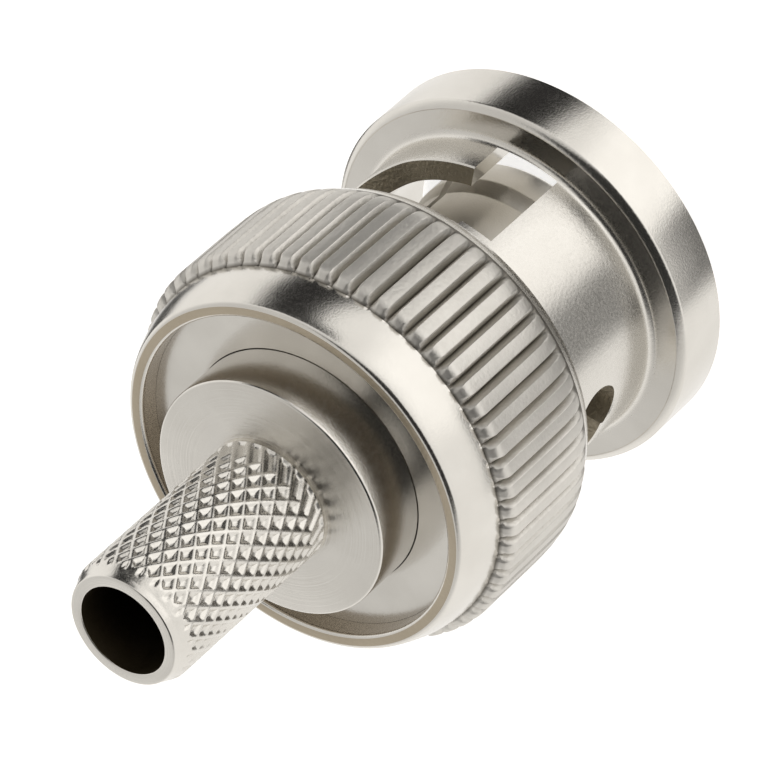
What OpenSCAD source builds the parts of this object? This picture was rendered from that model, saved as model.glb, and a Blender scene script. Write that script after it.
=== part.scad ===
// BNC crimp plug for thin coaxial cable: a bayonet coupling that turns and floats on a knurled plug body.
// Millimetres. +Z runs along the axis from the mating face to the cable end of the crimp stem.
// The origin is the centre of the coupling's front face, on which the plug stands.

/* [Bayonet ring and neck] */
// Outer radius of the ring at the mating end
ring_r = 6.98; // [6.9:0.01:7.05]
// Length of the ring
ring_len = 2.32; // [1.8:0.02:2.8]
// Bevel on the ring's rear rim
ring_bevel = 0.24; // [0.1:0.02:0.4]
// Radius of the bore that takes the jack's shell
shell_bore_r = 4.93; // [4.86:0.01:5.0]
// Wall of the neck round that bore
neck_wall = 0.79; // [0.6:0.01:0.95]
// Length of the neck between the ring and the grip
neck_len = 5.08; // [4.9:0.02:5.6]

/* [Bayonet slots] */
// Width of the lead-in channels for the jack's lugs
entry_w = 2.4; // [2.1:0.05:2.8]
// Depth of the lead-in channels beyond the bore, inside the ring
entry_depth = 0.81; // [0.8:0.01:0.95]
// Distance of the channels' closed end from the mating face
entry_end = 6.36; // [6.0:0.02:6.6]
// Front edge of the cam where it leaves the channel
cam_start = 3.81; // [3.5:0.01:4.2]
// Rise of the cam's front edge to its crest
cam_rise = 0.95; // [0.6:0.01:1.2]
// Rear edge of the cam slot
cam_rear = 6.96; // [6.8:0.02:7.1]
// Turn from the channel to the locked place
cam_turn = 90; // [80:1:100]
// Radius of the detent hole at the end of the cam
detent_r = 1.1; // [1.0:0.05:1.25]
// Distance of the detent hole's centre from the mating face
detent_z = 5.4; // [5.2:0.02:5.7]

/* [Knurled grip] */
// Number of straight teeth round the grip
tooth_count = 60; // [48:2:66]
// Radius over the teeth
tooth_tip_r = 7.35; // [7.25:0.01:7.4]
// Depth of the grooves between the teeth
tooth_depth = 0.43; // [0.25:0.01:0.6]
// Share of the pitch that a tooth's flat land takes
land_share = 0.56; // [0.4:0.02:0.7]
// Radius of the grip's front rim
front_rim_r = 6.65; // [6.5:0.01:6.8]
// Plain lead of the grip before the teeth
grip_lead = 0.6; // [0.4:0.02:0.8]
// Length of the knurl
knurl_len = 4.88; // [4.4:0.02:5.4]
// Length of the smooth shoulder behind the knurl
shoulder_len = 1.68; // [1.4:0.02:2.0]
// Radius where the shoulder meets the rear rim
rear_rim_r = 6.56; // [6.45:0.01:6.65]
// Depth of the recess inside the rear rim
recess_depth = 0.76; // [0.5:0.02:1.0]

/* [Coupling inside] */
// Radius of the recess that holds the retaining washer
washer_seat_r = 6.0; // [5.85:0.01:6.05]
// Radius of the spring chamber
chamber_r = 5.45; // [5.35:0.01:5.6]
// Thickness of the retaining washer
retainer_t = 0.9; // [0.7:0.05:1.1]
// Thickness of the thrust washer
thrust_t = 0.5; // [0.35:0.05:0.7]
// Travel of the coupling along the plug body, which presses the wave washer
float_travel = 0.7; // [0.5:0.05:0.75]
// Height of the wave washer when it is pressed as far as it goes
wave_pressed_h = 0.5; // [0.4:0.05:0.6]
// Thickness of the wave washer's strip
wave_t = 0.25; // [0.15:0.01:0.3]
// Number of waves
wave_count = 3; // [3:1:4]

/* [Plug body] */
// Radius of the collar that shows behind the coupling
collar_r = 4.39; // [4.3:0.01:4.5]
// How far the collar stands out of the rear rim
collar_out = 1.26; // [0.9:0.02:1.6]
// Length of the flange that the spring pushes forward
flange_len = 2.6; // [2.2:0.05:3.0]
// Depth of the front socket that holds the outer contact
socket_depth = 1.8; // [1.4:0.05:2.1]
// Depth of the bore for the insulator's tail
tail_depth = 3.0; // [2.5:0.05:3.6]
// Radius of the insulator's tail
tail_r = 2.6; // [2.3:0.02:3.0]

/* [Crimp stem] */
// Radius over the stem's knurl
stem_r = 2.27; // [2.2:0.01:2.4]
// Length of the stem behind the collar
stem_len = 7.82; // [6.5:0.02:9]
// Radius of the bore for the cable's insulation
stem_bore_r = 1.62; // [1.55:0.01:1.68]
// Outer radius of the stem's end face
stem_tip_r = 1.99; // [1.9:0.01:2.08]
// Length of the plain tapered band at the stem's end
stem_lead = 0.6; // [0.5:0.05:0.9]
// Plain length of the stem next to the collar
stem_root = 0.75; // [0.5:0.05:1.2]
// Number of ribs of each hand in the diamond knurl
diamond_count = 24; // [20:2:26]
// Angle between the ribs and the axis
diamond_angle = 34; // [30:1:38]
// Depth of the diamond recesses
diamond_depth = 0.15; // [0.08:0.01:0.2]
// Turn of the diamond knurl about the axis, in pitches: a rib lies on each axis halfway along the stem
diamond_phase = 0.25; // [0:0.05:0.5]
// Width of the ribs between the recesses
rib_w = 0.08; // [0.05:0.01:0.12]

/* [Contacts and insulator] */
// Radius of the outer contact over its contact bead
contact_r = 4.05; // [3.98:0.01:4.1]
// Distance of the outer contact's front edge behind the mating face
contact_front = 1.1; // [0.8:0.05:1.5]
// Length of the contact bead
bead_len = 0.9; // [0.7:0.05:1.2]
// How far the outer contact's waist lies below the bead
waist_drop = 0.2; // [0.16:0.01:0.25]
// Thickness of the outer contact's wall at its waist
contact_wall = 0.4; // [0.35:0.01:0.45]
// Width of the slits between the outer contact's fingers
slit_w = 0.35; // [0.25:0.05:0.5]
// Length of the fingers
finger_len = 5.2; // [4.5:0.1:5.8]
// Radius of the socket in the insulator's front
cavity_r = 2.45; // [2.35:0.01:2.6]
// Distance of the insulator's front edge behind the outer contact's
insulator_back = 1.5; // [1.0:0.05:2.0]
// Depth of the socket in the insulator
cavity_depth = 4.8; // [4.2:0.05:5.2]
// Radius of the centre pin
pin_r = 0.675; // [0.66:0.005:0.69]
// Distance of the pin's tip behind the outer contact's front edge
pin_back = 0.8; // [0.5:0.05:1.2]
// Radius of the pin's shank inside the insulator
shank_r = 0.84; // [0.83:0.01:0.88]
// Radius of the pin's crimp barrel
barrel_r = 0.98; // [0.9:0.01:1.1]
// Radius of the hole in the barrel for the cable's centre wire
wire_r = 0.48; // [0.4:0.01:0.55]
// Thickness of the gasket round the outer contact's root
gasket_t = 1.0; // [0.7:0.05:1.2]
// Radial width of the gasket
gasket_w = 0.83; // [0.6:0.01:0.9]

/* [Clearances] */
// Radial running gap between the coupling and the plug body
running_gap = 0.06; // [0.04:0.01:0.1]
// Radial gap between pieces that are pressed or pushed together
seat_gap = 0.02; // [0.01:0.01:0.04]

/* [Hidden] */
$fn = 96;

// A cut runs this far past the face that it opens
past = 0.2;
// Small break on turned edges
edge = 0.12;
// Fillet between the ring and the neck
neck_fillet = 0.27;
// Steps along a fillet or a rounded shoulder
arc_steps = 6;
// Steps along each cam slot
cam_steps = 30;
// Steps round the wave washer
wave_steps = 72;

neck_r = shell_bore_r + neck_wall;
ring_end = ring_len;
neck_end = ring_end + neck_len;
knurl_start = neck_end + grip_lead;
knurl_end = knurl_start + knurl_len;
coupling_end = knurl_end + shoulder_len;
wave_h = wave_pressed_h + float_travel;
retainer_rear = coupling_end - recess_depth;
retainer_front = retainer_rear - retainer_t;
thrust_front = retainer_front - thrust_t;
flange_rear = thrust_front - wave_h;
flange_front = flange_rear - flange_len;
collar_end = coupling_end + collar_out;
stem_end = collar_end + stem_len;

tooth_root_r = tooth_tip_r - tooth_depth;
tooth_pitch = 360 / tooth_count;
tooth_land = land_share * tooth_tip_r * sin(tooth_pitch);
tooth_base = 0.92 * tooth_root_r * sin(tooth_pitch);
entry_az = -90;
entry_half_angle = asin(entry_w / 2 / neck_r);

diamond_half_w = PI * stem_r / diamond_count;
diamond_half_h = diamond_half_w / tan(diamond_angle);
diamond_inset = rib_w / 2 * norm([diamond_half_w, diamond_half_h]) / (diamond_half_w * diamond_half_h);
knurl_rows = floor((stem_len - stem_lead - stem_root) / diamond_half_h);

waist_r = contact_r - waist_drop;
contact_bore_r = waist_r - contact_wall;
socket_r = waist_r + seat_gap;
finger_end = contact_front + finger_len;
contact_end = flange_front + socket_depth;
insulator_front = contact_front + insulator_back;
cavity_end = insulator_front + cavity_depth;
tail_end = contact_end + tail_depth;
pin_front = contact_front + pin_back;
shank_front = cavity_end - 0.3;
barrel_front = contact_end - 0.5;
barrel_rear = tail_end - 0.4;

// Points of an arc about [r, z], from angle a0 to a1
function arc(r, z, radius, a0, a1) =
    [for (i = [0 : arc_steps]) let (a = a0 + (a1 - a0) * i / arc_steps) [r + radius * cos(a), z + radius * sin(a)]];

// A turned ring from r0 to r1 between z0 and z1, its outer edges broken
module turned_ring(r0, r1, z0, z1, break_by = edge) {
    difference() {
        rotate_extrude()
            polygon([
                [0, z0],
                [r1 - break_by, z0],
                [r1, z0 + break_by],
                [r1, z1 - break_by],
                [r1 - break_by, z1],
                [0, z1]
            ]);
        translate([0, 0, z0 - past])
            cylinder(r = r0, h = z1 - z0 + 2 * past);
    }
}

// A plain bore from z0 to z1
module bore(r, z0, z1) {
    translate([0, 0, z0])
        cylinder(r = r, h = z1 - z0);
}

// The coupling's outline without its teeth: ring, neck, grip and rounded shoulder
module coupling_blank() {
    // the shoulder is an arc that starts along the axis at the knurl, and the rim's round carries on from it
    shoulder_run = tooth_root_r - rear_rim_r;
    shoulder_rise = shoulder_len - edge;
    shoulder_r = (shoulder_run * shoulder_run + shoulder_rise * shoulder_rise) / (2 * shoulder_run);
    shoulder_angle = asin(shoulder_rise / shoulder_r);
    rim_round = edge / (1 - sin(shoulder_angle));
    rotate_extrude()
        polygon(concat(
            [
                [0, 0],
                [ring_r - edge, 0],
                [ring_r, edge],
                [ring_r, ring_end - ring_bevel],
                [ring_r - ring_bevel, ring_end]
            ],
            arc(neck_r + neck_fillet, ring_end + neck_fillet, neck_fillet, 270, 180),
            [
                [neck_r, neck_end],
                [front_rim_r - edge, neck_end],
                [front_rim_r, neck_end + edge],
                [tooth_root_r, knurl_start - edge],
                [tooth_root_r, knurl_end]
            ],
            arc(tooth_root_r - shoulder_r, knurl_end, shoulder_r, 0, shoulder_angle),
            arc(rear_rim_r - rim_round * cos(shoulder_angle), coupling_end - rim_round, rim_round, shoulder_angle, 90),
            [[0, coupling_end]]
        ));
}

// One straight tooth: a flat land with sloped flanks, a round nose in front and a sloped run-out behind
module tooth() {
    // the foot is sunk a little into the blank, and the flanks keep their slope down to it
    foot_sink = 0.1;
    foot_r = tooth_root_r - foot_sink;
    foot_w = tooth_base + (tooth_base - tooth_land) * foot_sink / tooth_depth;
    intersection() {
        translate([0, 0, knurl_start])
            linear_extrude(knurl_len)
                polygon([
                    [foot_r, -foot_w / 2],
                    [tooth_tip_r, -tooth_land / 2],
                    [tooth_tip_r, tooth_land / 2],
                    [foot_r, foot_w / 2]
                ]);
        rotate([90, 0, 0])
            linear_extrude(tooth_base * 2, center = true)
                polygon([
                    [foot_r, knurl_start],
                    [tooth_root_r + tooth_depth * 0.7, knurl_start + tooth_depth * 0.6],
                    [tooth_tip_r, knurl_start + tooth_depth * 1.2],
                    [tooth_tip_r, knurl_end - tooth_depth * 0.8],
                    [tooth_root_r + tooth_depth * 0.7, knurl_end - tooth_depth * 0.4],
                    [foot_r, knurl_end]
                ]);
        translate([0, 0, knurl_start])
            rotate([0, 90, 0])
                linear_extrude(tooth_tip_r + 1)
                    union() {
                        translate([-foot_w / 2, 0])
                            circle(r = foot_w / 2, $fn = 24);
                        translate([-knurl_len - 1, -foot_w])
                            square([knurl_len + 1 - foot_w / 2, 2 * foot_w]);
                    }
    }
}

// Front and rear edges of the cam slot, at a turn a from the lead-in channel
function cam_front_z(a) = lookup(a, [
    [0, cam_start],
    [0.47 * cam_turn, cam_start + 0.12 * cam_rise],
    [0.77 * cam_turn, cam_start + cam_rise],
    [cam_turn, cam_start + cam_rise]
]);
function cam_rear_z(a) = lookup(a, [
    [0, cam_rear],
    [0.77 * cam_turn, cam_rear],
    [0.9 * cam_turn, (cam_rear + detent_z + detent_r) / 2],
    [cam_turn, detent_z + detent_r]
]);

// The cam slot's cutter: a strip through the neck's wall that climbs round it to the detent
module cam_cutter() {
    r0 = shell_bore_r - past;
    r1 = neck_r + past;
    angles = [for (i = [0 : cam_steps]) cam_turn * i / cam_steps];
    points = [for (a = angles)
        for (c = [[r0, cam_front_z(a)], [r1, cam_front_z(a)], [r1, cam_rear_z(a)], [r0, cam_rear_z(a)]])
            [c[0] * cos(a), c[0] * sin(a), c[1]]];
    sides = [for (i = [0 : cam_steps - 1])
        for (k = [0 : 3])
            let (n = (k + 1) % 4)
                each [[4 * i + k, 4 * i + 4 + n, 4 * i + 4 + k], [4 * i + k, 4 * i + n, 4 * i + 4 + n]]];
    last = 4 * cam_steps;
    polyhedron(points = points, faces = concat([[3, 2, 1, 0]], sides, [[last, last + 1, last + 2, last + 3]]));
}

// One bayonet slot: lead-in channel, cam and detent hole
module bayonet_slot() {
    rotate([0, 0, entry_az]) {
        intersection() {
            translate([0, -entry_w / 2, -past])
                cube([shell_bore_r + 2 * entry_depth, entry_w, entry_end + past]);
            bore(shell_bore_r + entry_depth, -past, entry_end);
        }
        cam_cutter();
        rotate([0, 0, cam_turn])
            translate([0, 0, detent_z])
                rotate([0, 90, 0])
                    cylinder(r = detent_r, h = neck_r + past);
    }
}

module coupling() {
    color([0.80, 0.79, 0.77])
        difference() {
            union() {
                coupling_blank();
                for (i = [0 : tooth_count - 1])
                    rotate([0, 0, (i + 0.5) * tooth_pitch])
                        tooth();
            }
            bore(shell_bore_r, -past, flange_front + past);
            bore(chamber_r, flange_front, coupling_end);
            bore(washer_seat_r, retainer_front, coupling_end + 1);
            // lead-in chamfer at the mating face
            translate([0, 0, -past])
                cylinder(r1 = shell_bore_r + edge + past, r2 = shell_bore_r, h = edge + past);
            for (side = [0, 180])
                rotate([0, 0, side])
                    bayonet_slot();
        }
}

module retaining_washer() {
    color([0.77, 0.76, 0.73])
        turned_ring(collar_r + running_gap, washer_seat_r - seat_gap, retainer_front, retainer_rear, 0.05);
}

module thrust_washer() {
    color([0.72, 0.66, 0.50])
        turned_ring(collar_r + running_gap, chamber_r - running_gap, thrust_front, retainer_front, 0.05);
}

// A thin strip bent into waves between the flange and the thrust washer
module wave_washer() {
    r0 = collar_r + running_gap;
    r1 = chamber_r - 2 * running_gap;
    swing = (wave_h - wave_t) / 2;
    points = [for (i = [0 : wave_steps - 1])
        let (a = 360 * i / wave_steps, z = flange_rear + swing * (1 + cos(wave_count * a)))
            each [for (c = [[r0, z], [r1, z], [r1, z + wave_t], [r0, z + wave_t]]) [c[0] * cos(a), c[0] * sin(a), c[1]]]];
    total = 4 * wave_steps;
    faces = [for (i = [0 : wave_steps - 1])
        for (k = [0 : 3])
            let (n = (k + 1) % 4, p = 4 * i, q = (4 * i + 4) % total)
                each [[p + k, q + n, q + k], [p + k, p + n, q + n]]];
    color([0.66, 0.58, 0.42])
        polyhedron(points = points, faces = faces);
}

// A four-sided recess pressed into the stem, with its deepest point on the x axis
module diamond_recess() {
    lift = 0.02;
    grow = (1 - diamond_inset) * (diamond_depth + lift) / diamond_depth;
    w = diamond_half_w * grow;
    h = diamond_half_h * grow;
    top = stem_r + lift;
    polyhedron(
        points = [[stem_r - diamond_depth, 0, 0], [top, w, 0], [top, 0, h], [top, -w, 0], [top, 0, -h]],
        faces = [[4, 3, 2, 1], [0, 1, 2], [0, 2, 3], [0, 3, 4], [0, 4, 1]]
    );
}

// The net of crossing ribs: staggered rows of diamond recesses
module stem_knurl() {
    first = collar_end + stem_root + diamond_half_h;
    for (row = [0 : knurl_rows - 1])
        for (i = [0 : diamond_count - 1])
            rotate([0, 0, (i + (row % 2) / 2 + diamond_phase) * 360 / diamond_count])
                translate([0, 0, first + row * diamond_half_h])
                    diamond_recess();
}

module plug_body() {
    flange_r = chamber_r - running_gap;
    color([0.78, 0.76, 0.72])
        difference() {
            rotate_extrude()
                polygon([
                    [0, flange_front],
                    [flange_r - edge, flange_front],
                    [flange_r, flange_front + edge],
                    [flange_r, flange_rear],
                    [collar_r, flange_rear],
                    [collar_r, collar_end - edge],
                    [collar_r - edge, collar_end],
                    [stem_r, collar_end],
                    [stem_r, stem_end - stem_lead],
                    [(stem_r + stem_tip_r) / 2, stem_end - 0.55 * stem_lead],
                    [stem_tip_r, stem_end],
                    [0, stem_end]
                ]);
            bore(socket_r, flange_front - past, contact_end);
            bore(tail_r, contact_end - past, tail_end);
            bore(stem_bore_r, tail_end - past, stem_end + past);
            stem_knurl();
        }
}

module outer_contact() {
    bead_end = contact_front + 2 * edge + bead_len;
    color([0.76, 0.75, 0.73])
        difference() {
            rotate_extrude()
                polygon([
                    [contact_bore_r, contact_front + edge],
                    [contact_bore_r + edge, contact_front],
                    [contact_r - 2 * edge, contact_front],
                    [contact_r, contact_front + 2 * edge],
                    [contact_r, bead_end],
                    [waist_r, bead_end + 3 * waist_drop],
                    [waist_r, contact_end],
                    [contact_bore_r, contact_end]
                ]);
            for (turn = [45, 135])
                rotate([0, 0, turn])
                    translate([-contact_r - past, -slit_w / 2, contact_front - past])
                        cube([2 * (contact_r + past), slit_w, finger_len + past]);
        }
}

module insulator() {
    color([0.95, 0.95, 0.93])
        difference() {
            rotate_extrude()
                polygon([
                    [0, insulator_front],
                    [contact_bore_r - seat_gap - edge, insulator_front],
                    [contact_bore_r - seat_gap, insulator_front + edge],
                    [contact_bore_r - seat_gap, contact_end],
                    [tail_r - seat_gap, contact_end],
                    [tail_r - seat_gap, tail_end],
                    [0, tail_end]
                ]);
            bore(cavity_r, insulator_front - past, cavity_end);
            bore(shank_r + seat_gap, cavity_end - past, barrel_front + past);
            bore(barrel_r + seat_gap, barrel_front, tail_end + past);
        }
}

module centre_pin() {
    nose = pin_r * 0.8;
    color([0.85, 0.68, 0.32])
        difference() {
            rotate_extrude()
                polygon(concat(
                    [[0, pin_front], [pin_r * 0.35, pin_front]],
                    arc(pin_r - nose, pin_front + nose, nose, -45, 0),
                    [
                        [pin_r, shank_front],
                        [shank_r, shank_front + shank_r - pin_r],
                        [shank_r, barrel_front],
                        [barrel_r, barrel_front],
                        [barrel_r, barrel_rear],
                        [0, barrel_rear]
                    ]
                ));
            bore(wire_r, barrel_front + 0.5, barrel_rear + past);
            // sight hole that shows the wire in the barrel
            translate([0, 0, barrel_front + 0.9])
                rotate([0, 90, 0])
                    cylinder(r = wire_r / 2, h = barrel_r + past);
        }
}

module face_gasket() {
    color([0.24, 0.24, 0.23])
        turned_ring(socket_r, socket_r + gasket_w, flange_front - gasket_t, flange_front, 0.1);
}

coupling();
retaining_washer();
thrust_washer();
wave_washer();
plug_body();
outer_contact();
insulator();
centre_pin();
face_gasket();
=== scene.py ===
"""Dresses the BNC crimp plug: turned and knurled nickel-plated brass, a PTFE insulator and a gold-plated pin."""

import logging
import math
from dataclasses import dataclass, field
from enum import Enum
from typing import Dict, List, Optional, Sequence, Tuple

import bpy
from mathutils import Matrix, Vector

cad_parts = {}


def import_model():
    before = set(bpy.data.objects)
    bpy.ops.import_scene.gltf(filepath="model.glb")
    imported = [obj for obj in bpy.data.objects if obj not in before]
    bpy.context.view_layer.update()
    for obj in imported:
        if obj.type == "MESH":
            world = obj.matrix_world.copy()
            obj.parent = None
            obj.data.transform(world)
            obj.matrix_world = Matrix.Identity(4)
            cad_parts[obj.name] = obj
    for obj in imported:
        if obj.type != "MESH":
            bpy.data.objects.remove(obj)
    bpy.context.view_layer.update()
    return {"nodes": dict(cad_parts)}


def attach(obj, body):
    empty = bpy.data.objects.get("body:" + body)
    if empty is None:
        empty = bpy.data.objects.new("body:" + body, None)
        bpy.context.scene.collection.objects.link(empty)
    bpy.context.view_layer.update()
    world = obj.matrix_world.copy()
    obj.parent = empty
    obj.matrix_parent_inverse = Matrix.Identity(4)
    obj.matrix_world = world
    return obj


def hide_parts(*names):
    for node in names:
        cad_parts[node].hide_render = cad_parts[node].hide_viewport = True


LOG = logging.getLogger("plug")
MM = 0.001
FULL_TURN = 2.0 * math.pi

Point = Tuple[float, float]
Colour = Tuple[float, float, float, float]


# ---------------------------------------------------------------- small helpers


def linear(hex_colour: str) -> Colour:
    """Turn an sRGB hex colour into the linear colour that shaders take.

    Args:
        hex_colour: Six hex digits after a hash.

    Returns:
        Linear red, green and blue, with an alpha of 1.
    """
    channels = [int(hex_colour[i : i + 2], 16) / 255.0 for i in (1, 3, 5)]
    curve = [c / 12.92 if c <= 0.04045 else ((c + 0.055) / 1.055) ** 2.4 for c in channels]
    return (curve[0], curve[1], curve[2], 1.0)


def smooth_step(low: float, high: float, value: float) -> float:
    """Rise smoothly from 0 at low to 1 at high."""
    t = min(max((value - low) / (high - low), 0.0), 1.0)
    return t * t * (3.0 - 2.0 * t)


def arc(r: float, z: float, radius: float, start: float, end: float, steps: int = 5) -> List[Point]:
    """List the points of an arc in the plane of a turned outline.

    Args:
        r: Distance of the arc's centre from the axis, in millimetres.
        z: Height of the arc's centre.
        radius: Radius of the arc.
        start: Angle at which it starts, in degrees, from outwards towards +Z.
        end: Angle at which it ends.
        steps: Number of straight steps.

    Returns:
        Points as distance from the axis and height.
    """
    angles = [math.radians(start + (end - start) * i / steps) for i in range(steps + 1)]
    return [(r + radius * math.cos(a), z + radius * math.sin(a)) for a in angles]


def rounded(points: Sequence[Point], radii: Dict[int, float], steps: int = 4) -> List[Point]:
    """Round chosen corners of an outline.

    Args:
        points: Corners of the outline.
        radii: Radius for each corner, by its place in the outline.
        steps: Number of straight steps round a corner.

    Returns:
        The outline with those corners replaced by arcs.
    """
    out: List[Point] = []
    count = len(points)
    for i, corner in enumerate(points):
        if i not in radii:
            out.append(corner)
            continue
        here = Vector(corner)
        before = (Vector(points[i - 1]) - here).normalized()
        after = (Vector(points[(i + 1) % count]) - here).normalized()
        half = before.angle(after) / 2.0
        reach = radii[i] / math.tan(half)
        centre = here + (before + after).normalized() * (radii[i] / math.sin(half))
        first, last = here + before * reach, here + after * reach
        a0 = math.atan2(first.y - centre.y, first.x - centre.x)
        a1 = math.atan2(last.y - centre.y, last.x - centre.x)
        turn = (a1 - a0 + math.pi) % FULL_TURN - math.pi
        for k in range(steps + 1):
            a = a0 + turn * k / steps
            out.append((centre.x + radii[i] * math.cos(a), centre.y + radii[i] * math.sin(a)))
    return out


def deselect_all() -> None:
    """Leave object mode clean, with nothing selected."""
    if bpy.context.object and bpy.context.object.mode != "OBJECT":
        bpy.ops.object.mode_set(mode="OBJECT")
    bpy.ops.object.select_all(action="DESELECT")


def make_active(piece: bpy.types.Object) -> None:
    """Select one object alone and make it the active one."""
    deselect_all()
    piece.select_set(True)
    bpy.context.view_layer.objects.active = piece


def object_from(name: str, vertices: Sequence[Sequence[float]], edges: Sequence[Sequence[int]],
                faces: Sequence[Sequence[int]]) -> bpy.types.Object:
    """Make an object from points in millimetres.

    Args:
        name: Name of the new object.
        vertices: Points in millimetres.
        edges: Pairs of points.
        faces: Rings of points.

    Returns:
        The new object, linked to the scene, with its mesh in metres.
    """
    mesh = bpy.data.meshes.new(name)
    mesh.from_pydata([tuple(c * MM for c in v) for v in vertices], edges, faces)
    piece = bpy.data.objects.new(name, mesh)
    bpy.context.scene.collection.objects.link(piece)
    return piece


def close_mesh(piece: bpy.types.Object) -> None:
    """Merge a piece's doubles and turn its faces outwards."""
    make_active(piece)
    bpy.ops.object.mode_set(mode="EDIT")
    bpy.ops.mesh.select_all(action="SELECT")
    bpy.ops.mesh.remove_doubles(threshold=0.0002 * MM)
    bpy.ops.mesh.normals_make_consistent(inside=False)
    bpy.ops.object.mode_set(mode="OBJECT")


def shade(piece: bpy.types.Object, angle: float = 28.0) -> None:
    """Shade a piece smooth, with edges sharper than the angle left crisp."""
    make_active(piece)
    bpy.ops.object.shade_smooth_by_angle(angle=math.radians(angle), keep_sharp_edges=True)


def turned(name: str, outline: Sequence[Point], steps: int = 180) -> bpy.types.Object:
    """Spin a closed outline round the axis, as a lathe would cut it.

    Args:
        name: Name of the piece.
        outline: Points as distance from the axis and height, in millimetres.
        steps: Number of steps round the axis.

    Returns:
        The closed piece.
    """
    count = len(outline)
    piece = object_from(name, [(r, 0.0, z) for r, z in outline], [(i, (i + 1) % count) for i in range(count)], [])
    make_active(piece)
    bpy.ops.object.mode_set(mode="EDIT")
    bpy.ops.mesh.select_all(action="SELECT")
    bpy.ops.mesh.spin(steps=steps, angle=FULL_TURN, center=(0.0, 0.0, 0.0), axis=(0.0, 0.0, 1.0))
    bpy.ops.object.mode_set(mode="OBJECT")
    close_mesh(piece)
    return piece


def cut(piece: bpy.types.Object, cutter: bpy.types.Object) -> None:
    """Take a cutter's form out of a piece, and delete the cutter."""
    make_active(piece)
    modifier = piece.modifiers.new("cut", "BOOLEAN")
    modifier.operation = "DIFFERENCE"
    modifier.solver = "EXACT"
    modifier.object = cutter
    bpy.ops.object.modifier_apply(modifier=modifier.name)
    bpy.data.objects.remove(cutter, do_unlink=True)


def joined(name: str, parts: Sequence[bpy.types.Object]) -> bpy.types.Object:
    """Join objects into one."""
    make_active(parts[0])
    for part in parts:
        part.select_set(True)
    bpy.ops.object.join()
    parts[0].name = name
    return parts[0]


def corner_box(name: str, low: Sequence[float], high: Sequence[float]) -> bpy.types.Object:
    """Make a box between two corners, in millimetres."""
    deselect_all()
    centre = [(a + b) / 2.0 * MM for a, b in zip(low, high)]
    bpy.ops.mesh.primitive_cube_add(size=1.0, location=centre)
    box = bpy.context.object
    box.name = name
    box.scale = [(b - a) * MM for a, b in zip(low, high)]
    bpy.ops.object.transform_apply(location=True, rotation=True, scale=True)
    return box


# ---------------------------------------------------------------- finishes


class NodeTree:
    """A material's or the world's nodes, added one at a time."""

    def __init__(self, tree: bpy.types.NodeTree) -> None:
        """Empty the tree and start again."""
        self.tree = tree
        tree.nodes.clear()

    def add(self, kind: str, inputs: Optional[Dict[object, object]] = None, **settings: object) -> bpy.types.Node:
        """Add a node with its settings, values and links.

        Args:
            kind: Blender's name for the node type.
            inputs: A value or another node's output for each input, by name or place.
            **settings: Properties of the node.

        Returns:
            The new node.
        """
        node = self.tree.nodes.new(kind)
        for key, value in settings.items():
            setattr(node, key, value)
        for key, value in (inputs or {}).items():
            if isinstance(value, bpy.types.NodeSocket):
                self.tree.links.new(value, node.inputs[key])
            else:
                node.inputs[key].default_value = value
        return node

    def blend(self, factor: bpy.types.NodeSocket, first: object, second: object) -> bpy.types.NodeSocket:
        """Add a node that blends two colours.

        Args:
            factor: How much of the second colour there is.
            first: The first colour, as a value or another node's output.
            second: The second colour.

        Returns:
            The output with the blended colour.
        """
        mix = self.add("ShaderNodeMix", {0: factor, 6: first, 7: second}, data_type="RGBA")
        return [socket for socket in mix.outputs if socket.type == "RGBA"][0]


class Turning(Enum):
    """Where a turned finish has fine tool marks."""

    NONE = "none"
    FLAT_FACES = "flat faces"


class Zone(Enum):
    """Stretches of the coupling with a finish of their own, numbered like its material slots."""

    PLATE = 0
    GRIP = 1
    SAWN = 2
    NECK = 3
    RIM = 4
    # The recess wall, dressed darker as painted shade.
    RECESS = 5


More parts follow.
